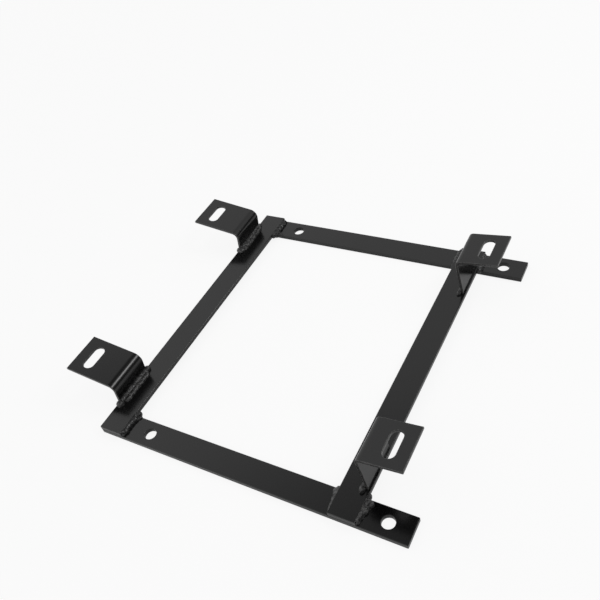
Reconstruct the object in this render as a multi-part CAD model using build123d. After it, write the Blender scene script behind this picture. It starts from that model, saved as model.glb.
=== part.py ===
from build123d import *

import os
from math import cos, pi, radians, sin, tan

# A welded seat bracket of flat bar. Two cross bars lie flat, two side bars lie across them, and
# four bent and slotted tabs stand on the side bars. Millimetres, +X right, +Y to the rear, +Z up.
# The origin is the centre of the four round bolt holes, on the underside of the cross bars.

# Flat bar
bar_width = 32.0
bar_thickness = 6.0
bar_edge_chamfer = 0.6      # eased arrises, along the bar and round its sawn ends

# Bolt holes through the cross bars
bolt_spacing_x = 304.0
bolt_spacing_y = 380.0
bolt_hole_diameter = 15.0
hole_edge_break = 0.4       # small chamfer round every hole and slot

# Where the side bars and the bar ends stand, measured from the lines of bolt holes
left_side_bar_outside_bolts = 48.0
right_side_bar_inside_bolts = 44.0
cross_bar_end_beyond_bolts = 27.0

# Tabs
tab_thickness = 3.5
tab_width = 54.5
tab_edge_chamfer = 0.4
tab_spacing_y = 292.0       # from the middle of a front tab to the middle of a rear tab
tab_shift_y = 5.5           # how far the four tabs sit rearward of the bolt holes' centre
slot_width = 14.5
slot_length = 34.0
slot_to_plate_end = 21.5    # from the slot's centre line to the plate's free end

# Each side's tabs come from blanks of like length, bent at another place
left_leg_height = 30.0
left_plate_reach = 74.0
left_bend_radius = 7.0      # inside of the bend
left_tab_tilt = 8.5         # degrees
left_leg_overhang = 1.5     # how far the leg's outer face stands out past the side bar's edge
right_leg_height = 52.0
right_plate_reach = 53.0
right_bend_radius = 3.0
right_tab_tilt = 6.5        # degrees
right_leg_overhang = -2.0

# Weld beads
lap_bead_radius = 6.5       # a little more than the bar's thickness, so it melts over the edge
lap_bead_end_margin = 1.5   # from the bead's outer end to the outer edge of the cross bar
foot_bead_radius = 6.3
foot_bead_overrun = 4.0     # how far a foot bead runs past the leg at each end
toe_pass_radius = 4.2       # second pass beside the first, at the foot of the left tabs
toe_pass_offset = 6.6       # from the leg to the middle of that pass
toe_pass_short = 3.0        # how much sooner it stops than the leg at each end
ripple_pitch = 5.0
ripple_depth = 0.8          # each ripple stands this far above the one that it laps
ripple_lap = 0.7            # length over which it drops back to the next one
bead_waver = 0.5            # uneven hand feed along a bead
corner_knob_radius = 5.2    # where a lap bead wraps into the frame's inner corner
corner_knob_setback = 2.1   # from that corner back over the cross bar and under the side bar
corner_knob_droop = 4.0     # how far it hangs below the top of the cross bar
foot_knob_radius = 5.0      # where a foot bead starts and stops
foot_knob_droop = 1.8
bead_facets = 5
knob_sides = 8

# Places worked out from the sizes above
left_bar_x = -bolt_spacing_x / 2 - left_side_bar_outside_bolts
right_bar_x = bolt_spacing_x / 2 - right_side_bar_inside_bolts
cross_bar_left_end = left_bar_x - bar_width / 2
cross_bar_right_end = bolt_spacing_x / 2 + cross_bar_end_beyond_bolts
side_bar_length = bolt_spacing_y + bar_width
side_bar_top = 2 * bar_thickness
rows = {"front": -1, "rear": 1}
sides = {"left": -1, "right": 1}


def flat_bar(length):
    """A length of flat bar along X, its underside on the XY plane, with every arris eased."""
    bar = Box(length, bar_width, bar_thickness, align=(Align.CENTER, Align.CENTER, Align.MIN))
    return chamfer(bar.edges(), bar_edge_chamfer)


def through_hole(profile, thickness):
    """A cutter from z = 0 up to the thickness, for a hole whose two rims are chamfered."""
    cutter = extrude(profile, thickness)
    for height, direction in ((0, 1), (thickness, -1)):
        flared = offset(profile, hole_edge_break).moved(Location((0, 0, height)))
        cutter += extrude(flared, direction * hole_edge_break, taper=45)
    return cutter


def cross_bar(y):
    """A cross bar with a round bolt hole near its left end and one near its right end."""
    middle = (cross_bar_right_end + cross_bar_left_end) / 2
    bar = Pos(middle, y, 0) * flat_bar(cross_bar_right_end - cross_bar_left_end)
    hole = through_hole(Circle(bolt_hole_diameter / 2), bar_thickness)
    for x in (-bolt_spacing_x / 2, bolt_spacing_x / 2):
        bar -= Pos(x, y, 0) * hole
    return bar


def side_bar(x):
    """A side bar that lies on both cross bars and ends flush with their outer edges."""
    return Pos(x, 0, bar_thickness) * Rot(0, 0, 90) * flat_bar(side_bar_length)


class Tab:
    """The sizes and the solid of a tab on one side. side is -1 at the left and 1 at the right."""

    def __init__(self, side):
        left = side < 0
        self.side = side
        self.leg = left_leg_height if left else right_leg_height
        self.reach = left_plate_reach if left else right_plate_reach
        self.bend = left_bend_radius if left else right_bend_radius
        self.tilt = left_tab_tilt if left else right_tab_tilt
        bar_x = left_bar_x if left else right_bar_x
        overhang = left_leg_overhang if left else right_leg_overhang
        outer_face = bar_x + side * (bar_width / 2 + overhang)
        self.foot_x = outer_face - side * tab_thickness / cos(radians(self.tilt))

    def profile(self):
        """The bent strip seen from the front, its leg upright and its inboard face on x = 0."""
        spare = tab_thickness * tan(radians(self.tilt)) + 1
        inner_x = self.side * tab_thickness
        inner_z = self.leg - tab_thickness
        outline = Polyline(
            (0, -spare),
            (0, self.leg),
            (self.side * self.reach, self.leg),
            (self.side * self.reach, inner_z),
            (inner_x, inner_z),
            (inner_x, -spare),
            close=True,
        )
        strip = make_face(outline)
        outer_corner = strip.vertices().sort_by_distance((0, self.leg, 0))[0]
        strip = fillet(outer_corner, self.bend + tab_thickness)
        inner_corner = strip.vertices().sort_by_distance((inner_x, inner_z, 0))[0]
        return fillet(inner_corner, self.bend)

    def solid(self, y):
        """The tab in its place: the leg leans inboard, so the plate rises towards its free end."""
        bent = extrude(Plane.XZ * self.profile(), tab_width / 2, both=True)
        across = bent.faces().sort_by(Axis.Y)
        plate_end = bent.faces().sort_by(Axis.X)[0 if self.side < 0 else -1]
        rims = across[0].edges() + across[-1].edges() + plate_end.edges().filter_by(Axis.Y)
        bent = chamfer(rims, tab_edge_chamfer)
        slot = through_hole(SlotOverall(slot_length, slot_width, rotation=90), tab_thickness)
        bent -= Pos(self.side * (self.reach - slot_to_plate_end), 0, self.leg - tab_thickness) * slot
        seated = Pos(self.foot_x, y, side_bar_top) * Rot(0, -self.side * self.tilt, 0) * bent
        return split(seated, bisect_by=Plane.XY.offset(side_bar_top), keep=Keep.TOP)


def weld_bead(root, out, length, radius, angle):
    """A rippled weld that fills the opening, of the given angle, between two plates.

    root is the middle of the corner line and out the direction away from the upright plate. The
    bead is lofted through sections that swell along each ripple and drop back where the next one
    starts, and that taper away at both ends.
    """
    along = Vector(*out).cross(Vector(0, 0, 1))
    start = Vector(*root) - along * (length / 2)
    valley = radius - ripple_depth
    count = round((length - 2 * valley) / ripple_pitch)
    pitch = (length - 2 * valley) / count
    stations = [(0, valley / 4), (valley / 3, valley * 3 / 4), (valley, valley)]
    for number in range(count):
        crest = radius - bead_waver * (1 + sin(number * 2 * pi / 5)) / 2
        lap = valley + (number + 1) * pitch
        stations += [(lap - ripple_lap, crest), (lap, valley)]
    stations += [(length - valley / 3, valley * 3 / 4), (length, valley / 4)]
    sections = []
    for place, size in stations:
        plane = Plane(origin=start + along * place, x_dir=out, z_dir=along)
        steps = [radians(angle) * step / bead_facets for step in range(bead_facets + 1)]
        arc = [(size * cos(turn), size * sin(turn)) for turn in steps]
        sections.append(plane * make_face(Polyline((0, 0), *arc, close=True)))
    return loft(sections, ruled=True)


def knob(x, y, z, radius, droop, supports):
    """A blob of weld metal, domed above z and hanging a little below it, cut to fit its supports."""
    wall_height = radius * sin(pi / 6)
    wall_radius = radius * cos(pi / 6)
    crown_height = radius * sin(pi / 3) - wall_height
    turn = 90 / knob_sides
    wide = RegularPolygon(radius, knob_sides, major_radius=False, rotation=turn)
    narrow = RegularPolygon(wall_radius, knob_sides, major_radius=False, rotation=turn)
    blob = extrude(wide, wall_height, taper=15)
    blob += Pos(0, 0, wall_height) * extrude(narrow, crown_height, taper=45)
    blob += extrude(wide, -droop, taper=30)
    blob = Pos(x, y, z) * blob
    for support in supports:
        blob -= support
    return blob


def lap_bead(bar_x, edge, direction, supports):
    """The bead along one edge of a side bar, on top of a cross bar, with its knob in the corner."""
    bar_y = direction * bolt_spacing_y / 2
    corner_y = bar_y - direction * bar_width / 2
    root_x = bar_x + edge * bar_width / 2
    length = bar_width - lap_bead_end_margin
    root = (root_x, corner_y + direction * length / 2, bar_thickness)
    bead = weld_bead(root, (edge, 0, 0), length, lap_bead_radius, 90)
    knob_x = root_x - edge * corner_knob_setback
    knob_y = corner_y + direction * corner_knob_setback
    return bead + knob(knob_x, knob_y, bar_thickness, corner_knob_radius, corner_knob_droop, supports)


def foot_bead(form, y, supports):
    """The bead along the inboard foot of a tab, with a knob that wraps each end of its leg.

    The left tabs carry the more load on their short legs, and have a second pass beside the first.
    """
    root = (form.foot_x, y, side_bar_top)
    length = tab_width + 2 * foot_bead_overrun
    bead = weld_bead(root, (-form.side, 0, 0), length, foot_bead_radius, 90 - form.tilt)
    if form.side < 0:
        toe = (form.foot_x + toe_pass_offset, y, side_bar_top)
        bead += weld_bead(toe, (1, 0, 0), tab_width - 2 * toe_pass_short, toe_pass_radius, 180)
    for direction in rows.values():
        end_y = y + direction * (tab_width + foot_bead_overrun) / 2
        bead += knob(form.foot_x, end_y, side_bar_top, foot_knob_radius, foot_knob_droop, supports)
    return bead


# Build the pieces
side_bars = {"left": side_bar(left_bar_x), "right": side_bar(right_bar_x)}
pieces = {f"{name}_side_bar": bar for name, bar in side_bars.items()}
for row, direction in rows.items():
    cross = cross_bar(direction * bolt_spacing_y / 2)
    pieces[f"{row}_cross_bar"] = cross
    pieces[f"{row}_left_lap_bead"] = lap_bead(left_bar_x, 1, direction, (side_bars["left"], cross))
    for place, edge in (("inner", -1), ("outer", 1)):
        bead = lap_bead(right_bar_x, edge, direction, (side_bars["right"], cross))
        pieces[f"{row}_right_{place}_lap_bead"] = bead
    for name, side in sides.items():
        form = Tab(side)
        tab_y = tab_shift_y + direction * tab_spacing_y / 2
        bent_tab = form.solid(tab_y)
        pieces[f"{row}_{name}_tab"] = bent_tab
        pieces[f"{row}_{name}_foot_bead"] = foot_bead(form, tab_y, (side_bars[name], bent_tab))

os.makedirs("parts", exist_ok=True)
for name, piece in pieces.items():
    export_step(piece, f"parts/{name}.step")
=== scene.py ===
"""Dresses a welded seat bracket: eased flat bars, bent slotted tabs, rippled welds, black coat.

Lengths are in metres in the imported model's frame: +X right, +Y to the rear, +Z up, and the cross
bars lie on z = 0.
"""

import logging
import math
from dataclasses import dataclass, field
from enum import Enum
from typing import Any

import bmesh
import bpy
import numpy as np
from mathutils import Matrix, Vector


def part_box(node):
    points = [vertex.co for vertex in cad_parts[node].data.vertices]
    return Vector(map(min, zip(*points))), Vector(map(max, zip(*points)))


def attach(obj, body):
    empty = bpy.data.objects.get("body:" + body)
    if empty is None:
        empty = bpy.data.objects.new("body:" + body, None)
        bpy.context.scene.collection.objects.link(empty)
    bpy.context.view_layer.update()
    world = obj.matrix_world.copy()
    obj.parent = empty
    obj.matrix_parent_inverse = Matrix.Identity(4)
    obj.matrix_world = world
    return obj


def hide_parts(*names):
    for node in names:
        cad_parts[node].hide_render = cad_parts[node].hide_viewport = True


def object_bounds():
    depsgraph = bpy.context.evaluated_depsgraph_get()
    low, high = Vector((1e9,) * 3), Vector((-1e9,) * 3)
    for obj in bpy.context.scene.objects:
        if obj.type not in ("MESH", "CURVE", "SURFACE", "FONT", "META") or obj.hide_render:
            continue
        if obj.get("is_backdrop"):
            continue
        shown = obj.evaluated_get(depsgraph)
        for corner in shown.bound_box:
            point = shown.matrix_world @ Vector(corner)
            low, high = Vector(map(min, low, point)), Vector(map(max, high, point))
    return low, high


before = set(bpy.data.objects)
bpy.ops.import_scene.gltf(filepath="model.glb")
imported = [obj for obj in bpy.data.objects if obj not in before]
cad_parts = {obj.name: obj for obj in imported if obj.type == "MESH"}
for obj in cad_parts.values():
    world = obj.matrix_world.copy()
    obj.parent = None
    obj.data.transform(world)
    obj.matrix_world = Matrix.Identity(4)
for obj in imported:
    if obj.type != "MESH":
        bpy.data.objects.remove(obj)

MM = 0.001
PHASES = 6.28     # the range of random phases, about a full turn
log = logging.getLogger("seat bracket")


class Side(Enum):
    """The side of the frame that a side bar or a tab is on, as its direction along X."""

    LEFT = -1
    RIGHT = 1


class Row(Enum):
    """The row of the frame that a piece belongs to, or a piece's end, as its direction along Y."""

    FRONT = -1
    REAR = 1


class Seam(Enum):
    """A weld between a side bar and a cross bar: the bar's side and the bar's edge along X."""

    LEFT = (Side.LEFT, 1)
    RIGHT_INNER = (Side.RIGHT, -1)
    RIGHT_OUTER = (Side.RIGHT, 1)

    @property
    def side(self) -> Side:
        """Tells which side bar is welded."""
        return self.value[0]

    @property
    def edge(self) -> int:
        """Tells which edge of that bar the weld runs along, as its direction along X."""
        return self.value[1]


class Wire:
    """A node's output socket, on which Python's operators add Math nodes."""

    def __init__(self, bench: "Bench", socket: bpy.types.NodeSocket) -> None:
        """Keeps the socket and the bench that owns its node tree."""
        self.bench = bench
        self.socket = socket

    def _math(self, operation: str, first: "Wire | float", second: "Wire | float") -> "Wire":
        """Adds the Math node of the given operation and hands back its result."""
        return self.bench.node("ShaderNodeMath", {"operation": operation}, {0: first, 1: second})

    def __add__(self, other: "Wire | float") -> "Wire":
        """Adds a wire or a number."""
        return self._math("ADD", self, other)

    def __sub__(self, other: "Wire | float") -> "Wire":
        """Takes a wire or a number away."""
        return self._math("SUBTRACT", self, other)

    def __rsub__(self, other: float) -> "Wire":
        """Is taken away from a number."""
        return self._math("SUBTRACT", other, self)

    def __mul__(self, other: "Wire | float") -> "Wire":
        """Multiplies by a wire or a number."""
        return self._math("MULTIPLY", self, other)

    def __abs__(self) -> "Wire":
        """Drops the sign."""
        return self._math("ABSOLUTE", self, 0.0)

    def largest(self, other: "Wire | float") -> "Wire":
        """Gives the larger of this wire and a wire or a number."""
        return self._math("MAXIMUM", self, other)

    def smallest(self, other: "Wire | float") -> "Wire":
        """Gives the smaller of this wire and a wire or a number."""
        return self._math("MINIMUM", self, other)

    def limited(self) -> "Wire":
        """Keeps the value between 0 and 1."""
        return self.largest(0.0).smallest(1.0)

    __radd__ = __add__
    __rmul__ = __mul__


class Bench:
    """A node tree and the one method that puts nodes into it."""

    def __init__(self, tree: bpy.types.NodeTree) -> None:
        """Empties the tree and keeps it."""
        self.tree = tree
        tree.nodes.clear()

    def node(self, kind: str, settings: dict[str, Any] | None = None,
             sockets: dict[int | str, Any] | None = None, output: int | str = 0) -> Wire | None:
        """Adds a node, makes its settings and then fills its sockets.

        Args:
            kind: the node's type.
            settings: the node's properties by name.
            sockets: a value or a wire for each input socket, by name or number.
            output: the output socket that is handed back.

        Returns:
            The wire of that output, or None for a node without outputs.
        """
        made = self.tree.nodes.new(kind)
        for name, value in (settings or {}).items():
            setattr(made, name, value)
        for name, value in (sockets or {}).items():
            if isinstance(value, Wire):
                self.tree.links.new(value.socket, made.inputs[name])
            else:
                made.inputs[name].default_value = value
        return Wire(self, made.outputs[output]) if len(made.outputs) else None


@dataclass(frozen=True)
class BoxArris:
    """Where a straight bar's arrises run, told from its box."""

    low: tuple[float, float, float]
    high: tuple[float, float, float]
    reach: float = 0.9 * MM

    def mask(self, bench: Bench, place: Wire) -> Wire:
        """Marks the arrises: a point near two of the box's faces at once is near an edge.

        Args:
            bench: the node tree's bench.
            place: object coordinates.

        Returns:
            1 on the arrises, falling to 0 at the given reach from them.
        """
        past = []
        for axis, low, high in zip("XYZ", self.low, self.high):
            along = bench.node("ShaderNodeSeparateXYZ", {}, {"Vector": place}, output=axis)
            past.append(abs(along - (low + high) / 2) - (high - low) / 2)
        x, y, z = past
        second = x.smallest(y).largest(y.smallest(z)).largest(x.smallest(z))
        return ((second + self.reach) * (1.0 / self.reach)).limited()


@dataclass(frozen=True)
class RimMark:
    """Where a tab's cut rims run, told from the mark that its mesh carries."""

    name: str = "rim"

    def mask(self, bench: Bench, place: Wire) -> Wire:
        """Reads the mesh's mark, 0 on the flat and 1 on the rims, for which no place is needed."""
        return bench.node("ShaderNodeAttribute", {"attribute_name": self.name}, output="Fac")


@dataclass(frozen=True)
class PowderCoat:
    """Satin black powder coat: orange peel from the melted powder, thin and worn grey on the edges.

    The colour drifts from shade to pale_shade with a slow cloud and a fine grain. It turns to a
    lighter shade in specks, by their share, and along the edges, by wear. On the edges that shade
    is wear; in the specks, which only the coarse welds' coat has, it is painted sheen.
    """

    name: str
    edges: BoxArris | RimMark | None = None
    shade: tuple[float, float, float] = (0.0016, 0.0016, 0.0017)
    pale_shade: tuple[float, float, float] = (0.0036, 0.0036, 0.0037)
    # A lighter shade: wear on the edges of bars and tabs, painted sheen in the coarse welds'
    # specks.
    wear_and_sheen_shade: tuple[float, float, float] = (0.0480, 0.0475, 0.0470)
    roughness: float = 0.17
    roughness_spread: float = 0.05
    rubbed_roughness: float = 0.12
    specular_level: float = 0.50
    wear: float = 1.0
    even_wear: float = 0.3
    patchy_wear: float = 0.7
    cloud_size: float = 38.0 * MM
    cloud_detail: float = 3.0
    cloud_tint: float = 0.7
    grain_size: float = 0.40 * MM
    grain_detail: float = 2.0
    grain_tint: float = 0.3
    grain_share: float = 0.50
    peel_size: float = 1.3 * MM
    peel_detail: float = 1.0
    peel_height: float = 0.026 * MM
    speck_size: float = 1.1 * MM
    speck_detail: float = 2.0
    speck_level: float = 0.48
    speck_contrast: float = 6.0
    sheen_speck_share: float = 0.0

    def material(self) -> bpy.types.Material:
        """Builds the material.

        Returns:
            A material whose colour and roughness drift slowly and whose surface has peel and grain.
        """
        made = bpy.data.materials.new(self.name)
        made.use_nodes = True
        bench = Bench(made.node_tree)
        place = bench.node("ShaderNodeTexCoord", output="Object")
        cloud = self._noise(bench, place, self.cloud_size, self.cloud_detail)
        peel = self._noise(bench, place, self.peel_size, self.peel_detail)
        grain = self._noise(bench, place, self.grain_size, self.grain_detail)
        speck = self._noise(bench, place, self.speck_size, self.speck_detail)
        speck = ((speck - self.speck_level) * self.speck_contrast).limited()
        tint = cloud * self.cloud_tint + grain * self.grain_tint
        coat = self._mixed(bench, tint, (*self.shade, 1.0), (*self.pale_shade, 1.0))
        # Specks of the lighter shade are painted sheen, the light that a rough weld catches; only
        # the coarse welds' coat has a share of them.
        wear_and_sheen = speck * self.sheen_speck_share
        if self.edges is not None:
            patches = speck * self.patchy_wear + self.even_wear
            wear_and_sheen = wear_and_sheen.largest(self.edges.mask(bench, place) * patches * self.wear)
        colour = self._mixed(bench, wear_and_sheen, coat, (*self.wear_and_sheen_shade, 1.0))
        drift = (cloud + grain - 1.0) * self.roughness_spread
        rough = drift + wear_and_sheen * self.rubbed_roughness + self.roughness
        height = peel * (1.0 - self.grain_share) + grain * self.grain_share
        bump = bench.node("ShaderNodeBump", {}, {
            "Strength": 1.0, "Distance": self.peel_height, "Height": height})
        shader = bench.node("ShaderNodeBsdfPrincipled", {}, {
            "Base Color": colour, "Roughness": rough, "Normal": bump,
            "Specular IOR Level": self.specular_level})
        bench.node("ShaderNodeOutputMaterial", {}, {"Surface": shader})
        return made

    @staticmethod
    def _noise(bench: Bench, place: Wire, size: float, detail: float) -> Wire:
        """Adds a noise pattern from 0 to 1, with spots of a given size and finer ones in them."""
        return bench.node("ShaderNodeTexNoise", {"noise_dimensions": "3D"}, {
            "Vector": place, "Scale": 1.0 / size, "Detail": detail, "Roughness": 0.5})

    @staticmethod
    def _mixed(bench: Bench, share: Wire, first: Wire | tuple[float, ...],
               second: Wire | tuple[float, ...]) -> Wire:
        """Mixes two colours, with the given share of the second one."""
        return bench.node("ShaderNodeMix", {"data_type": "RGBA"}, {0: share, 6: first, 7: second},
                          output=2)


TAB_COAT = PowderCoat("satin black coat on tabs", RimMark(), wear_and_sheen_shade=(0.085, 0.084, 0.083),
                      cloud_size=24 * MM)
CALM_COAT = PowderCoat("satin black coat on calm welds", shade=(0.003, 0.003, 0.0031),
                       pale_shade=(0.010, 0.010, 0.0102), roughness=0.22, peel_size=0.8 * MM)
# Coat of the coarse welds: its paler shades and its light specks are painted sheen, standing in for
# the light that the rough beads catch.
PAINTED_SHEEN_COAT = PowderCoat("greyed coat on coarse welds", shade=(0.006, 0.006, 0.0061),
                         pale_shade=(0.036, 0.036, 0.0362), wear_and_sheen_shade=(0.11, 0.109, 0.108),
                         roughness=0.27, peel_size=0.9 * MM, speck_size=3.4 * MM, sheen_speck_share=0.75)


@dataclass
class Shell:
    """Vertices and faces of closed surfaces, as arrays, on their way into a mesh."""

    points: np.ndarray
    quads: np.ndarray
    caps: list[list[int]] = field(default_factory=list)

    @staticmethod
    def from_grid(grid: np.ndarray, ring_closed: bool, capped: bool) -> "Shell":
        """Joins a grid of points into quads. Each row of the grid is a closed loop.

        Args:
            grid: rows x columns x 3 points.
            ring_closed: whether the last row meets the first, as on a ring.
            capped: whether the first and the last row are closed with a face each.

        Returns:
            The shell.
        """
        rows, columns = grid.shape[:2]
        index = np.arange(rows * columns).reshape(rows, columns)
        below = index if ring_closed else index[:-1]
        above = np.roll(index, -1, axis=0) if ring_closed else index[1:]
        loop = [below, np.roll(below, -1, axis=1), np.roll(above, -1, axis=1), above]
        caps = [index[0, ::-1].tolist(), index[-1].tolist()] if capped else []
        return Shell(grid.reshape(-1, 3), np.stack(loop, axis=-1).reshape(-1, 4), caps)

    def joined(self, other: "Shell") -> "Shell":
        """Puts another shell beside this one.

        Args:
            other: the shell to add.

        Returns:
            One shell that holds both.
        """
        shift = len(self.points)
        caps = self.caps + [[corner + shift for corner in cap] for cap in other.caps]
        points = np.vstack([self.points, other.points])
        return Shell(points, np.vstack([self.quads, other.quads + shift]), caps)

    def piece(self, name: str, mark: np.ndarray | None = None) -> bpy.types.Object:
        """Makes a smooth shaded mesh object at the origin, with its faces turned outwards.

        Args:
            name: the object's name.
            mark: a value for each point, which the mesh carries under the rim mark's name.

        Returns:
            The object.
        """
        mesh = bpy.data.meshes.new(name)
        mesh.from_pydata(self.points.tolist(), [], self.quads.tolist() + self.caps)
        tidy = bmesh.new()
        tidy.from_mesh(mesh)
        bmesh.ops.recalc_face_normals(tidy, faces=tidy.faces)
        tidy.to_mesh(mesh)
        tidy.free()
        mesh.polygons.foreach_set("use_smooth", np.ones(len(mesh.polygons), dtype=bool))
        if mark is not None:
            carried = mesh.attributes.new(RimMark.name, "FLOAT", "POINT")
            carried.data.foreach_set("value", mark.ravel())
        made = bpy.data.objects.new(name, mesh)
        bpy.context.scene.collection.objects.link(made)
        return made


def applied(piece: bpy.types.Object) -> bpy.types.Object:
    """Turns what a piece's modifiers show into its own mesh.

    Args:
        piece: an object with modifiers.

    Returns:
        The same object, without modifiers.
    """
    seen = piece.evaluated_get(bpy.context.evaluated_depsgraph_get())
    mesh = bpy.data.meshes.new_from_object(seen)
    piece.modifiers.clear()
    piece.data = mesh
    return piece


def dress(piece: bpy.types.Object, finish: bpy.types.Material, slot: str, *nodes: str) -> None:
    """Gives a finished piece its material and its place in the frame.

    Args:
        piece: the finished object.
        finish: its material.
        slot: the name of a material slot, which is not used.
        nodes: the nodes of the model that it stands for.
    """
    piece.data.materials.clear()
    piece.data.materials.append(finish)
    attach(piece, "root")
    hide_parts(*nodes)
    triangles = sum(len(face.vertices) - 2 for face in piece.data.polygons)
    log.info("%s stands for %s, %d triangles", piece.name, ", ".join(nodes), triangles)


@dataclass(frozen=True)
class FlatBar:
    """A length of hot rolled flat bar, with the model's outline and softly rounded arrises."""

    node: str
    arris_radius: float = 0.35 * MM
    arris_steps: int = 3
    arris_turn: float = math.radians(20)
    flat_turn: float = math.radians(0.5)
    merge_reach: float = 0.001 * MM
    wear: float = 0.3

    def build(self) -> None:
        """Copies the bar's solid, rounds its arrises and dresses it."""
        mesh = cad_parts[self.node].data.copy()
        tidy = bmesh.new()
        tidy.from_mesh(mesh)
        bmesh.ops.remove_doubles(tidy, verts=tidy.verts, dist=self.merge_reach)
        bmesh.ops.dissolve_limit(tidy, angle_limit=self.flat_turn, verts=tidy.verts,
                                 edges=tidy.edges)
        tidy.to_mesh(mesh)
        tidy.free()
        piece = bpy.data.objects.new(f"{self.node}_coated", mesh)
        bpy.context.scene.collection.objects.link(piece)
        bevel = piece.modifiers.new("round the arrises", "BEVEL")
        bevel.width = self.arris_radius
        bevel.segments = self.arris_steps
        bevel.limit_method = "ANGLE"
        bevel.angle_limit = self.arris_turn
        bevel.harden_normals = True
        low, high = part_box(self.node)
        coat = PowderCoat(f"satin black coat, {self.node}", BoxArris(tuple(low), tuple(high)),
                          wear=self.wear)
        dress(applied(piece), coat.material(), "coated_bar", self.node)


@dataclass(frozen=True)
class TabForm:
    """The sizes in which the left and the right tabs differ.

    The leg's height and the plate's reach are those of the outer faces, before the tab is tilted.
    The overhang is how far the leg's outer face stands out past the side bar's edge.
    """

    leg_height: float
    plate_reach: float
    bend_radius: float
    tilt: float
    overhang: float


TAB_FORMS = {
    Side.LEFT: TabForm(30 * MM, 74 * MM, 7 * MM, math.radians(8.5), 1.5 * MM),
    Side.RIGHT: TabForm(52 * MM, 53 * MM, 3 * MM, math.radians(6.5), -2 * MM),
}


@dataclass(frozen=True)
class Tab:
    """A strip that is bent into a leg and a plate, with a round ended slot through the plate.

    The strip's blank is flat, with s along it from the foot, y across it and n through it. Its
    surface is a ring that starts at the slot's wall, runs over the top to the blank's edge, down
    and back underneath. That ring is bent and set on the side bar. The leg reaches below the
    bar's top by the spare length, which is flattened onto it.
    """

    row: Row
    side: Side
    thickness: float = 3.5 * MM
    slot_width: float = 14.5 * MM
    slot_length: float = 34.0 * MM
    slot_to_end: float = 21.5 * MM
    rim_radius: float = 0.45 * MM
    spare: float = 1.5 * MM
    rings: int = 56
    rim_steps: int = 4
    side_steps: tuple[int, ...] = (32, 96, 40, 96)

    @property
    def form(self) -> TabForm:
        """Looks up the sizes of its side's tabs."""
        return TAB_FORMS[self.side]

    @property
    def node(self) -> str:
        """Names the tab's node."""
        return f"{self.row.name}_{self.side.name}_tab".lower()

    @property
    def foot(self) -> Vector:
        """Finds where the leg stands.

        Returns:
            The middle of its inboard foot, on the side bar's top.
        """
        low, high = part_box(f"{self.side.name.lower()}_side_bar")
        edge = low[0] if self.side is Side.LEFT else high[0]
        outer = edge + self.side.value * self.form.overhang
        own_low, own_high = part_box(self.node)
        x = outer - self.side.value * self.thickness / math.cos(self.form.tilt)
        return Vector((x, (own_low[1] + own_high[1]) / 2, high[2]))

    def _walk(self) -> tuple[np.ndarray, np.ndarray, np.ndarray]:
        """Walks once round the blank, in equal steps along the plate's end, side, foot and side.

        Returns:
            For each point, the number of the side's first corner, that of its second, and how
            far the point has come from the one to the other, from 0 to 1.
        """
        first = np.concatenate([np.full(count, corner)
                                for corner, count in enumerate(self.side_steps)])
        along = np.concatenate([np.arange(count) / count for count in self.side_steps])
        return first, (first + 1) % 4, along

    def _section(self) -> tuple[np.ndarray, np.ndarray, np.ndarray, np.ndarray]:
        """Works out the ring's stations, from the slot's wall over the top and back underneath.

        Each rim is a quarter circle: it draws back from the wall by its radius times one less
        the cosine, and comes short of the face by its radius times one less the sine.

        Returns:
            For each station, its share of the way from the slot to the edge, how far it draws
            back from both, its height off the blank's middle, and 1 where it lies on a rim.
        """
        rim, half = self.rim_radius, self.thickness / 2
        turn = np.linspace(0, math.pi / 2, self.rim_steps + 1)
        inset, rise = rim * (1 - np.cos(turn)), half - rim * (1 - np.sin(turn))
        top = np.linspace(0, 1, self.rings + 1)[1:-1]
        share = np.concatenate([np.zeros_like(turn), top, np.ones_like(turn)])
        pull = np.concatenate([inset, np.full_like(top, rim), inset[::-1]])
        height = np.concatenate([rise, np.full_like(top, half), rise[::-1]])
        mark = np.concatenate([np.ones_like(turn), np.zeros_like(top), np.ones_like(turn)])
        share, pull = np.concatenate([share, share[::-1]]), np.concatenate([pull, pull[::-1]])
        height, mark = np.concatenate([height, -height[::-1]]), np.concatenate([mark, mark[::-1]])
        return share, pull, height, mark

    def _slot_reach(self, angle: np.ndarray, radius: np.ndarray) -> np.ndarray:
        """Finds the slot's outline, which lies at the radius from a line of its straight length.

        A ray at a given angle from the slot's centre meets either a straight side, at the radius
        over the cosine, or a round end, where the circle round the line's end is crossed.

        Args:
            angle: the rays' angles from the strip's length.
            radius: half the slot's width and what the station draws back, one row a station.

        Returns:
            The distances from the slot's centre, one row a station.
        """
        cosine, sine = np.abs(np.cos(angle)), np.abs(np.sin(angle))
        straight = (self.slot_length - self.slot_width) / 2
        on_side = radius * sine <= straight * cosine
        flat_reach = radius / np.maximum(cosine, 1e-9)
        across = np.maximum(radius**2 - (straight * cosine) ** 2, 0)
        return np.where(on_side, flat_reach, straight * sine + np.sqrt(across))

    def _ring(self, length: float, slot_s: float, width: float) -> tuple[np.ndarray, ...]:
        """Works out the ring on the flat blank.

        A station of the ring lies between the slot's outline, widened by how far the station
        draws back, and the blank's outline, narrowed by as much.

        Args:
            length: the blank's length.
            slot_s: where the slot's centre is along it.
            width: the blank's width.

        Returns:
            s, y, n and the rim's mark of each point, one row a station.
        """
        share, pull, height, mark = self._section()
        first, second, along = self._walk()
        corner_s = np.array([length - slot_s, length - slot_s, -slot_s, -slot_s])
        corner_y = np.array([-width / 2, width / 2, width / 2, -width / 2])
        edge_s = corner_s[None, :] - pull[:, None] * np.sign(corner_s)
        edge_y = corner_y[None, :] - pull[:, None] * np.sign(corner_y)
        outer_s = edge_s[:, first] * (1 - along) + edge_s[:, second] * along
        outer_y = edge_y[:, first] * (1 - along) + edge_y[:, second] * along

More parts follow.
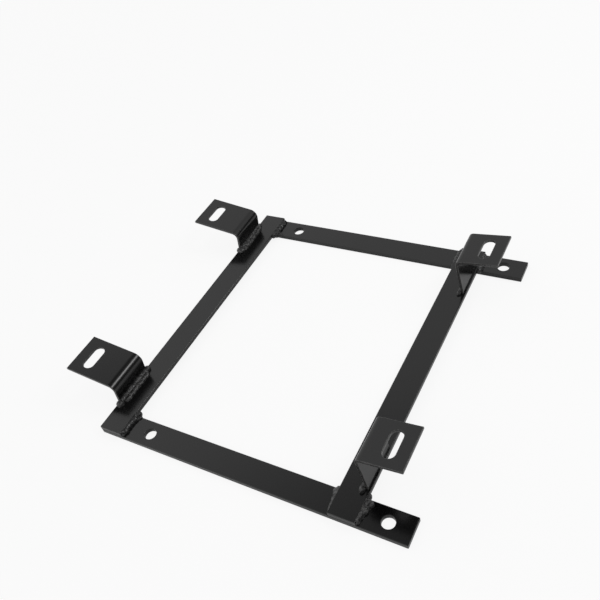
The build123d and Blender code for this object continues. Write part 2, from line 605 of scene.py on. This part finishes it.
        angle = np.arctan2(corner_y[first] * (1 - along) + corner_y[second] * along,
                           corner_s[first] * (1 - along) + corner_s[second] * along)
        reach = self._slot_reach(angle, self.slot_width / 2 + pull[:, None])
        inner_s, inner_y = reach * np.cos(angle), reach * np.sin(angle)
        share = share[:, None]
        s = slot_s + inner_s * (1 - share) + outer_s * share
        y = inner_y * (1 - share) + outer_y * share
        n, mark = (np.broadcast_to(value[:, None], s.shape) for value in (height, mark))
        return s, y, n, mark

    def _bent(self, s: np.ndarray, n: np.ndarray) -> tuple[np.ndarray, np.ndarray]:
        """Bends the blank: straight up the leg, a quarter circle, then straight out the plate.

        Args:
            s: distance along the blank's middle.
            n: height off the blank's middle, towards the outside of the bend.

        Returns:
            How far outboard and how far up each point lies, before the tab is tilted.
        """
        radius = self.form.bend_radius + self.thickness / 2
        leg = self.form.leg_height - self.thickness - self.form.bend_radius + self.spare
        turn = np.clip((s - leg) / radius, 0, math.pi / 2)
        centre = self.thickness + self.form.bend_radius
        past = np.maximum(s - leg - radius * math.pi / 2, 0)
        short = np.minimum(s - leg, 0)
        out = centre - (radius + n) * np.cos(turn) + past
        up = self.form.leg_height - centre + (radius + n) * np.sin(turn) + short
        return out, up

    def build(self, finish: bpy.types.Material) -> None:
        """Bends the blank, seats it on the side bar and dresses it.

        Args:
            finish: the tab's material.
        """
        radius = self.form.bend_radius + self.thickness / 2
        corner = self.thickness + self.form.bend_radius
        to_plate = self.form.leg_height - corner + self.spare + radius * math.pi / 2
        length = to_plate + self.form.plate_reach - corner
        low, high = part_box(self.node)
        s, y, n, mark = self._ring(length, length - self.slot_to_end, high[1] - low[1])
        out, up = self._bent(s, n)
        foot, side, tilt = self.foot, self.side.value, self.form.tilt
        x = foot.x + side * (out * math.cos(tilt) - up * math.sin(tilt))
        z = foot.z + out * math.sin(tilt) + up * math.cos(tilt)
        grid = np.stack([x, foot.y + y, np.maximum(z, foot.z)], axis=-1)
        shell = Shell.from_grid(grid, ring_closed=True, capped=False)
        dress(shell.piece(f"{self.node}_coated", mark), finish, "coated_tab", self.node)


@dataclass(frozen=True)
class WeldPass:
    """One run of weld metal along a straight line.

    The surface is a profile carried along that line. The profile is a rounded arc from the toe,
    on the flat plate, up to the throat, on the upright one, or over a half turn for a run that
    lies on the flat. Along the run both fade out at its ends, the toe sooner than the throat, and
    the arc swells and shrinks unevenly and its toe widens or narrows evenly from one end to the
    other. It draws back over the upright plate by the overlap, as the cube of the turn. On it
    stand ripples that rise slowly, drop sharply and bulge forward in mid bead, and a grit that is
    the sum of many small waves which cross the bead at all angles. Ripples and grit sink to
    nothing at both edges of the arc, as the square root of a half wave.
    """

    root: tuple[float, float, float]
    out: tuple[float, float, float]
    length: float
    toe: float
    throat: float
    sweep: float = math.pi / 2
    wall_lean: float = 0.0
    overlap: float = 0.0
    fades: tuple[float, float] = (7.0 * MM, 7.0 * MM)
    throat_fade: float = 0.6
    least_fade: float = 0.004
    widths: tuple[float, float] = (1.0, 1.0)
    roundness: float = 1.0
    relief: float = 1.0
    seed: int = 1
    swell: float = 0.12
    toe_swell: float = 1.5
    throat_swell: float = 0.4
    feed_waves: tuple[float, ...] = (6 * MM, 9 * MM, 13 * MM, 23 * MM)
    feed_scale: float = 3.0
    lump_pitch: float = 4.8 * MM
    lump_height: float = 0.75 * MM
    lump_rise: float = 1.3
    ripple_pitch: float = 1.6 * MM
    ripple_height: float = 0.22 * MM
    ripple_rise: float = 1.5
    ripple_bulge: float = 1.5 * MM
    ripple_waver: float = 1.4 * MM
    grit_height: float = 0.24 * MM
    grit_lengths: tuple[float, float] = (1.6 * MM, 5.0 * MM)
    grit_waves: int = 14
    grit_push: float = 2.0
    sink: float = 0.5 * MM
    around: int = 36
    step: float = 0.25 * MM
    run_in: float = 0.02 * MM

    def _fade(self, u: np.ndarray, share: float) -> np.ndarray:
        """Rounds the run off towards both ends, as quarter circles over a share of its fades.

        Args:
            u: distances along the run.
            share: the share of the fades that is used.

        Returns:
            Factors from nearly 0 at the ends to 1.
        """
        start, end = self.fades
        near = np.minimum(u / (start * share), (self.length - u) / (end * share))
        return np.sqrt(1 - (1 - np.clip(near, self.least_fade, 1)) ** 2)

    def _feed(self, u: np.ndarray, dice: np.random.Generator) -> np.ndarray:
        """Works out an uneven hand feed: a sine wave of each length, summed and scaled.

        Args:
            u: distances along the run.
            dice: gives each wave its phase.

        Returns:
            A value about 0 at each distance.
        """
        waves = (np.sin(2 * math.pi * u / wave + dice.uniform(0, PHASES))
                 for wave in self.feed_waves)
        return sum(waves) / self.feed_scale

    def _grit(self, u: np.ndarray, across: np.ndarray, dice: np.random.Generator) -> np.ndarray:
        """Works out the grit: sine waves of many lengths, each with a heading of its own.

        Args:
            u: distances along the run.
            across: distances across it.
            dice: gives each wave its heading and its phase.

        Returns:
            Heights, one row a distance along the run.
        """
        grit = np.zeros((len(u), len(across)))
        for length in np.linspace(*self.grit_lengths, self.grit_waves):
            heading, phase = dice.uniform(0, math.pi), dice.uniform(0, PHASES)
            way = u[:, None] * math.cos(heading) + across * math.sin(heading)
            wave = np.sin(2 * math.pi * way / length + phase)
            grit += wave * self.grit_height / self.grit_waves**0.5
        return grit

    def shell(self) -> Shell:
        """Works the run out as a closed surface.

        Returns:
            The shell, which dips a little into the plates that it joins.
        """
        dice = np.random.default_rng(self.seed)
        out, up = np.array(self.out), np.array([0.0, 0.0, 1.0])
        along = np.cross(up, out)
        wall = up * math.cos(self.wall_lean) + out * math.sin(self.wall_lean)
        u = np.arange(self.run_in, self.length, self.step)
        turn = np.linspace(0, self.sweep, self.around)
        toe_feed, throat_feed, ripple_feed = (self._feed(u, dice) for _ in range(3))
        width = self.widths[0] + (self.widths[1] - self.widths[0]) * u / self.length
        toe = self.toe * width * (1 + self.swell * self.toe_swell * toe_feed) * self._fade(u, 1.0)
        throat = self.throat * (1 + self.swell * self.throat_swell * throat_feed)
        throat = throat * self._fade(u, self.throat_fade)
        grit = self._grit(u, self.toe * turn, dice)
        arch = np.sin(math.pi * turn / self.sweep)
        travel = u[:, None] + self.ripple_waver * ripple_feed[:, None] - self.ripple_bulge * arch
        travel = travel + grit * self.grit_push
        lump = np.mod(travel / self.lump_pitch + dice.uniform(), 1.0) ** self.lump_rise
        ripple = np.mod(travel / self.ripple_pitch, 1.0) ** self.ripple_rise
        waves = self.lump_height * (lump - 1) + self.ripple_height * (ripple - 1) + grit
        relief = 1 + self.relief * waves * arch**0.5 / self.throat
        cosine, sine = np.cos(turn), np.sin(turn)
        flat = toe[:, None] * np.sign(cosine) * np.abs(cosine) ** self.roundness * relief
        flat = flat - self.overlap * (turn / self.sweep) ** 3
        rise = throat[:, None] * np.abs(sine) ** self.roundness * relief
        into_wall = self.sink if self.sweep < math.pi else 0.0
        first = np.stack([flat[:, :1], np.full_like(flat[:, :1], -self.sink)], axis=-1)
        last = np.stack([flat[:, -1:] - into_wall, rise[:, -1:] - self.sink], axis=-1)
        heel = np.full_like(first, -self.sink)
        profile = np.concatenate([first, np.stack([flat, rise], axis=-1), last, heel], axis=1)
        spine = np.array(self.root) + (u[:, None] - self.length / 2) * along
        grid = profile[..., :1] * out + profile[..., 1:] * wall + spine[:, None, :]
        return Shell.from_grid(grid, ring_closed=False, capped=True)


@dataclass(frozen=True)
class WeldLump:
    """A rounded lump where a run starts, stops or wraps a corner.

    The surface is an ellipsoid whose radius swells and shrinks with three sine waves. The first
    has three crests round the lump, the second two from pole to pole. The third is half as high
    and has seven round it, which wind downwards.
    """

    centre: tuple[float, float, float]
    radii: tuple[float, float, float]
    seed: int = 1
    uneven: float = 0.07
    rings: int = 28
    around: int = 44
    pole_gap: float = 0.05

    def shell(self) -> Shell:
        """Works the lump out as a closed surface.

        Returns:
            The shell.
        """
        dice = np.random.default_rng(self.seed)
        down, round_ = np.meshgrid(np.linspace(self.pole_gap, math.pi - self.pole_gap, self.rings),
                                   np.arange(self.around) * 2 * math.pi / self.around,
                                   indexing="ij")
        waves = np.sin(3 * round_ + dice.uniform(0, PHASES)) * np.sin(down)
        waves = waves + np.sin(4 * down + dice.uniform(0, PHASES))
        size = 1 + self.uneven * (waves + 0.5 * np.sin(7 * round_ + 5 * down)) / 2
        unit = np.stack([np.sin(down) * np.cos(round_), np.sin(down) * np.sin(round_),
                         np.cos(down)], axis=-1)
        grid = np.array(self.centre) + unit * size[..., None] * np.array(self.radii)
        return Shell.from_grid(grid, ring_closed=False, capped=True)


@dataclass(frozen=True)
class Weld:
    """A weld bead of one or more runs and lumps, fused into one skin."""

    node: str
    runs: tuple[WeldPass | WeldLump, ...]
    voxel: float = 0.30 * MM

    def build(self, finish: bpy.types.Material) -> None:
        """Fuses the runs and lumps and dresses the bead.

        Args:
            finish: the bead's material.
        """
        shell = self.runs[0].shell()
        for run in self.runs[1:]:
            shell = shell.joined(run.shell())
        piece = shell.piece(f"{self.node}_coated")
        fuse = piece.modifiers.new("fuse", "REMESH")
        fuse.mode = "VOXEL"
        fuse.voxel_size = self.voxel
        fuse.use_smooth_shade = True
        dress(applied(piece), finish, "coated_bead", self.node)


@dataclass(frozen=True)
class Blob:
    """Where a lump of weld metal sits, and its radii along X, Y and Z.

    It sits out from the face that the weld runs along, past that face's end, and up from the
    plate underneath.
    """

    out: float
    past: float
    up: float
    radii: tuple[float, float, float]

    @classmethod
    def in_mm(cls, out: float, past: float, up: float, x: float, y: float, z: float) -> "Blob":
        """Takes the place and the three radii in millimetres."""
        return cls(out * MM, past * MM, up * MM, (x * MM, y * MM, z * MM))


@dataclass(frozen=True)
class LapForm:
    """How the weld along one edge of a side bar came out.

    Its toe goes from corner_toe, in the corner with the cross bar, to end_toe at its outer end.
    The relief is the share of a coarse weld's relief. A roundness above 1 flattens the arc.
    """

    corner_toe: float
    end_toe: float
    relief: float
    blobs: tuple[Blob, ...]
    lump_pitch: float = 4.8 * MM
    roundness: float = 1.0
    # Whether the weld takes the coarse welds' coat, whose paler shades and light specks are painted
    # sheen.
    painted_sheen: bool = False


@dataclass(frozen=True)
class FootForm:
    """How the weld along a tab's foot came out, with a blob round each end of the leg.

    The widths are the shares of the toe at the run's two ends. Where there is a second run, it
    lies beside the first, at second_offset from the leg.
    """

    toe: float
    throat: float
    relief: float
    front: Blob
    rear: Blob
    widths: tuple[float, float] = (1.0, 1.0)
    second_offset: float = 0.0
    second_radius: float = 0.0
    lump_pitch: float = 4.8 * MM


LAP_FORMS = {
    (Row.FRONT, Seam.LEFT): LapForm(5.4 * MM, 4.6 * MM, 0.28, (
        Blob.in_mm(1.2, 1.0, 1.6, 4.8, 5.0, 4.3),
        Blob.in_mm(4.6, -2.0, -0.4, 3.8, 3.6, 3.0)), lump_pitch=8.0 * MM, roundness=1.2),
    (Row.FRONT, Seam.RIGHT_INNER): LapForm(7.0 * MM, 1.0 * MM, 0.55, (
        Blob.in_mm(1.0, -1.6, 0.8, 3.8, 3.6, 3.6),), painted_sheen=True),
    (Row.FRONT, Seam.RIGHT_OUTER): LapForm(7.0 * MM, 2.0 * MM, 0.85, (
        Blob.in_mm(0.4, 0.6, 1.8, 2.8, 4.2, 4.2),
        Blob.in_mm(5.0, -5.4, 0.4, 3.4, 3.6, 3.8),
        Blob.in_mm(2.2, -7.0, 2.2, 2.6, 4.0, 4.2),
        Blob.in_mm(2.6, -14.0, 1.2, 3.2, 5.0, 4.6)), lump_pitch=6.5 * MM, painted_sheen=True),
    (Row.REAR, Seam.LEFT): LapForm(6.2 * MM, 5.6 * MM, 0.30, (
        Blob.in_mm(0.2, 3.8, 1.8, 3.4, 5.8, 4.3),
        Blob.in_mm(2.6, 1.4, 1.0, 5.4, 4.6, 4.6),
        Blob.in_mm(6.4, -1.2, 0.0, 4.4, 3.6, 3.4),
        Blob.in_mm(10.2, -1.4, -0.8, 3.2, 2.8, 2.2)), lump_pitch=8.0 * MM, roundness=1.2),
    (Row.REAR, Seam.RIGHT_INNER): LapForm(5.8 * MM, 4.6 * MM, 0.60, (
        Blob.in_mm(0.8, 0.2, 0.8, 4.0, 3.8, 3.8),)),
    (Row.REAR, Seam.RIGHT_OUTER): LapForm(6.4 * MM, 3.0 * MM, 0.90, (
        Blob.in_mm(1.0, 0.2, 0.8, 4.2, 4.2, 4.0),), painted_sheen=True),
}
FOOT_FORMS = {
    (Row.FRONT, Side.LEFT): FootForm(
        5.0 * MM, 4.8 * MM, 0.42, Blob.in_mm(2.4, 2.6, 0.6, 5.4, 4.8, 4.8),
        Blob.in_mm(1.6, 1.0, 0.8, 4.4, 3.8, 4.6), second_offset=6.7 * MM,
        second_radius=3.6 * MM, lump_pitch=7.5 * MM),
    (Row.REAR, Side.LEFT): FootForm(
        7.0 * MM, 5.2 * MM, 0.90, Blob.in_mm(2.2, 3.0, 0.6, 6.4, 5.4, 5.0),
        Blob.in_mm(0.8, 0.6, 0.4, 3.4, 3.8, 3.4), widths=(1.25, 0.55), second_offset=5.2 * MM,
        second_radius=4.0 * MM),
    (Row.FRONT, Side.RIGHT): FootForm(
        5.6 * MM, 5.6 * MM, 1.0, Blob.in_mm(2.6, 2.0, 1.2, 3.2, 5.4, 4.8),
        Blob.in_mm(2.0, 0.6, 0.8, 3.4, 4.2, 4.2)),
    (Row.REAR, Side.RIGHT): FootForm(
        5.0 * MM, 5.2 * MM, 1.0, Blob.in_mm(2.2, 1.2, 0.8, 2.6, 4.4, 4.0),
        Blob.in_mm(2.0, 0.6, 0.8, 3.4, 4.2, 4.2)),
}


@dataclass(frozen=True)
class Bracket:
    """The whole bracket: its bars, tabs and welds, placed by the frame's boxes."""

    bars: tuple[str, ...] = ("front_cross_bar", "rear_cross_bar", "left_side_bar",
                             "right_side_bar")
    lap_throat: float = 6.1 * MM
    lap_overlap: float = 0.9 * MM
    lap_margin: float = 1.0 * MM
    lap_fade: float = 4.5 * MM
    foot_overrun: float = 3.0 * MM
    second_short: float = 2.0 * MM
    second_around: int = 56
    first_seed: int = 11
    seed_step: int = 10

    def _foot_weld(self, tab: Tab, seed: int) -> Weld:
        """Lays the weld along a tab's inboard foot, with a lump that wraps each end of the leg.

        Args:
            tab: the tab.
            seed: the first run's seed, above which each further run or lump has its own.

        Returns:
            The weld.
        """
        low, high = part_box(tab.node)
        width = high[1] - low[1]
        form = FOOT_FORMS[tab.row, tab.side]
        foot, inboard = tab.foot, -tab.side.value
        out = (float(inboard), 0.0, 0.0)
        runs: list[WeldPass | WeldLump] = [
            WeldPass(tuple(foot), out, width + 2 * self.foot_overrun, form.toe, form.throat,
                     wall_lean=tab.form.tilt, widths=form.widths, relief=form.relief,
                     lump_pitch=form.lump_pitch, seed=seed)]
        if form.second_radius:
            second = (foot.x + inboard * form.second_offset, foot.y, foot.z)
            runs.append(WeldPass(second, out, width - 2 * self.second_short, form.second_radius,
                                 form.second_radius, sweep=math.pi, widths=form.widths,
                                 relief=form.relief, lump_pitch=form.lump_pitch, seed=seed + 1,
                                 around=self.second_around))
        for end, blob in ((Row.FRONT, form.front), (Row.REAR, form.rear)):
            centre = (foot.x + inboard * blob.out, foot.y + end.value * (width / 2 + blob.past),
                      foot.z + blob.up)
            runs.append(WeldLump(centre, blob.radii, seed=seed + 3 + end.value))
        return Weld(f"{tab.row.name}_{tab.side.name}_foot_bead".lower(), tuple(runs))

    def _lap_weld(self, row: Row, seam: Seam, seed: int) -> Weld:
        """Lays the weld along one edge of a side bar, on a cross bar, with its lumps.

        Args:
            row: which cross bar it lies on.
            seam: which edge of which side bar it runs along.
            seed: the first run's seed, above which each further run or lump has its own.

        Returns:
            The weld.
        """
        form, edge = LAP_FORMS[row, seam], seam.edge
        bar = f"{seam.side.name.lower()}_side_bar"
        low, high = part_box(bar)
        cross_low, cross_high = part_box(f"{row.name}_cross_bar".lower())
        x = high[0] if edge > 0 else low[0]
        corner_y = cross_high[1] if row is Row.FRONT else cross_low[1]
        length = cross_high[1] - cross_low[1] - self.lap_margin
        root = (x, corner_y + row.value * length / 2, cross_high[2])
        widths = (1.0, form.end_toe / form.corner_toe)
        starts_inside = edge * row.value > 0
        runs: list[WeldPass | WeldLump] = [
            WeldPass(root, (float(edge), 0.0, 0.0), length, form.corner_toe, self.lap_throat,
                     overlap=self.lap_overlap, roundness=form.roundness,
                     fades=(self.lap_fade, self.lap_fade),
                     widths=widths if starts_inside else widths[::-1], relief=form.relief,
                     lump_pitch=form.lump_pitch, seed=seed)]
        for number, blob in enumerate(form.blobs):
            centre = (x + edge * blob.out, corner_y - row.value * blob.past,
                      cross_high[2] + blob.up)
            runs.append(WeldLump(centre, blob.radii, seed=seed + 1 + number))
        return Weld(f"{row.name}_{seam.name}_lap_bead".lower(), tuple(runs))

    def build(self) -> None:
        """Builds and dresses every piece: the bars, then each row's welds and tabs."""
        # The coarse welds' coat, which every foot weld and some lap welds take, carries painted
        # sheen.
        tab_coat, calm_coat = TAB_COAT.material(), CALM_COAT.material()
        painted_sheen_coat = PAINTED_SHEEN_COAT.material()
        for node in self.bars:
            FlatBar(node).build()
        seed = self.first_seed
        for row in Row:
            for seam in Seam:
                painted_sheen = LAP_FORMS[row, seam].painted_sheen
                self._lap_weld(row, seam, seed).build(painted_sheen_coat if painted_sheen else calm_coat)
                seed += self.seed_step
            for side in Side:
                tab = Tab(row, side)
                tab.build(tab_coat)
                self._foot_weld(tab, seed).build(painted_sheen_coat)
                seed += self.seed_step


@dataclass(frozen=True)
class Lamp:
    """A square soft lamp that looks at the bracket."""

    name: str
    place: tuple[float, float, float]
    size: float
    power: float

    def build(self, aim: Vector) -> None:
        """Hangs the lamp and turns it.

        Args:
            aim: the point that it lights.
        """
        light = bpy.data.lights.new(self.name, "AREA")
        light.shape = "SQUARE"
        light.size = self.size
        light.energy = self.power
        made = bpy.data.objects.new(self.name, light)
        made.location = self.place
        made.rotation_euler = (Vector(self.place) - aim).to_track_quat("Z", "Y").to_euler()
        bpy.context.scene.collection.objects.link(made)


@dataclass(frozen=True)
class Viewpoint:
    """The camera, where the photograph was taken from.

    The focal length and the frame are in the photograph's pixels. The enlargement is how much
    larger the bracket is shown than there.
    """

    eye: tuple[float, float, float] = (0.35487, -0.47254, 0.64726)
    aim: tuple[float, float, float] = (-0.08124, 0.06053, 0.006)
    roll: float = math.radians(-16.32)
    focal_pixels: float = 565.2
    frame_pixels: float = 600.0
    enlargement: float = 1.25
    film_width: float = 36.0
    nearest: float = 0.01

    def build(self) -> None:
        """Sets the camera up and makes it the scene's own."""
        lens = bpy.data.cameras.new("camera")
        lens.sensor_width = self.film_width
        lens.lens = self.film_width * self.focal_pixels * self.enlargement / self.frame_pixels
        lens.clip_start = self.nearest
        ahead = (Vector(self.aim) - Vector(self.eye)).normalized()
        level = ahead.cross(Vector((0, 0, 1))).normalized()
        upright = level.cross(ahead)
        right = level * math.cos(self.roll) + upright * math.sin(self.roll)
        up = upright * math.cos(self.roll) - level * math.sin(self.roll)
        turned = Matrix((right, up, -ahead)).transposed().to_4x4()
        made = bpy.data.objects.new("camera", lens)
        made.matrix_world = Matrix.Translation(self.eye) @ turned
        bpy.context.scene.collection.objects.link(made)
        bpy.context.scene.camera = made


@dataclass(frozen=True)
class Studio:
    """A pale floor under soft light, with the camera.

    The flank is the dark part of the walls, low on the right. Its top, and where the ceiling and
    the light overhead begin and end, are the heights that a ray of length 1 reaches.
    """

    floor_size: float = 8.0
    floor_colour: float = 0.90
    floor_glow: float = 0.88
    floor_mirrored: float = 0.20
    walls_mirrored: float = 0.15
    wall_strength: float = 1.11
    rear_fall: float = 0.60
    flank_slope: float = 3.0
    flank_top: float = 0.38
    flank_fade: float = 6.0
    ceiling_from: float = 0.78
    ceiling_to: float = 0.92
    overhead_from: float = 0.955
    overhead_to: float = 0.975
    overhead: float = 0.9
    aim: tuple[float, float, float] = (0.0, 0.0, 0.03)
    lamps: tuple[Lamp, ...] = (
        Lamp("key", (1.0, 0.6, 1.44), 0.55, 4.6),
        Lamp("rim", (0.95, 0.85, 0.85), 0.30, 1.2),
    )

    @staticmethod
    def _seen(bench: Bench, straight: float, mirrored: float) -> Wire:
        """Tells how much of the plain white ground a ray sees.

        Args:
            bench: the node tree's bench.
            straight: the share for the camera and through glass.
            mirrored: the share in a reflection.

        Returns:
            That share, or 0 for the light that falls on the object.
        """
        camera = bench.node("ShaderNodeLightPath", output="Is Camera Ray")
        glossy = bench.node("ShaderNodeLightPath", output="Is Glossy Ray")
        through = bench.node("ShaderNodeLightPath", output="Is Transmission Ray")
        return (camera.largest(through) * straight).largest(glossy * mirrored)

    @staticmethod
    def _ramp(value: Wire, start: float, end: float) -> Wire:
        """Rises evenly from 0 at the start to 1 at the end."""
        return ((value - start) * (1.0 / (end - start))).limited()

    def _floor(self) -> None:
        """Lays the floor under the cross bars and marks it as stage."""
        half, level = self.floor_size / 2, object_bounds()[0][2]
        outline = [(-half, -half, level), (half, -half, level), (half, half, level),
                   (-half, half, level)]
        mesh = bpy.data.meshes.new("floor")
        mesh.from_pydata(outline, [], [(0, 1, 2, 3)])
        made = bpy.data.objects.new("floor", mesh)
        bpy.context.scene.collection.objects.link(made)
        paint = bpy.data.materials.new("pale floor")
        paint.use_nodes = True
        bench = Bench(paint.node_tree)
        pale = (self.floor_colour, self.floor_colour, self.floor_colour, 1.0)
        matt = bench.node("ShaderNodeBsdfDiffuse", {}, {"Color": pale})
        glow = bench.node("ShaderNodeEmission", {}, {
            "Color": (1.0, 1.0, 1.0, 1.0), "Strength": 1.0})
        seen = self._seen(bench, self.floor_glow, self.floor_mirrored)
        mixed = bench.node("ShaderNodeMixShader", {}, {0: seen, 1: matt, 2: glow})
        bench.node("ShaderNodeOutputMaterial", {}, {"Surface": mixed})
        mesh.materials.append(paint)
        made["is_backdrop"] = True

    def _world(self) -> None:
        """Surrounds the stage with white walls.

        They fall off to the rear, low on the right and high up. A wide light hangs straight
        above. The camera sees plain white in place of all this.
        """
        world = bpy.data.worlds.new("dome")
        bpy.context.scene.world = world
        world.use_nodes = True
        bench = Bench(world.node_tree)
        toward = bench.node("ShaderNodeTexCoord", output="Generated")
        right, rear, rise = (
            bench.node("ShaderNodeSeparateXYZ", {}, {"Vector": toward}, output=axis)
            for axis in "XYZ")
        walls = (self.wall_strength - rear * self.rear_fall).smallest(1.0)
        low_down = 1.0 - ((rise - self.flank_top) * self.flank_fade).limited()
        flank = (right * self.flank_slope).limited() * low_down
        ceiling = self._ramp(rise, self.ceiling_from, self.ceiling_to)
        above = self._ramp(rise, self.overhead_from, self.overhead_to)
        studio = (walls * (1.0 - flank) * (1.0 - ceiling)).largest(above * self.overhead)
        strength = studio + self._seen(bench, 1.0, self.walls_mirrored) * (1.0 - studio)
        sky = bench.node("ShaderNodeBackground", {}, {
            "Color": (1.0, 1.0, 1.0, 1.0), "Strength": strength})
        bench.node("ShaderNodeOutputWorld", {}, {"Surface": sky})

    def build(self) -> None:
        """Sets up the floor, the dome, the lamps and the camera."""
        self._floor()
        self._world()
        for lamp in self.lamps:
            lamp.build(Vector(self.aim))
        Viewpoint().build()
        bpy.context.scene.view_settings.view_transform = "Standard"


def main() -> None:
    """Builds the bracket and the studio."""
    logging.basicConfig(level=logging.INFO, format="%(message)s")
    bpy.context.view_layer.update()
    Bracket().build()
    Studio().build()


if __name__ == "__main__":
    main()
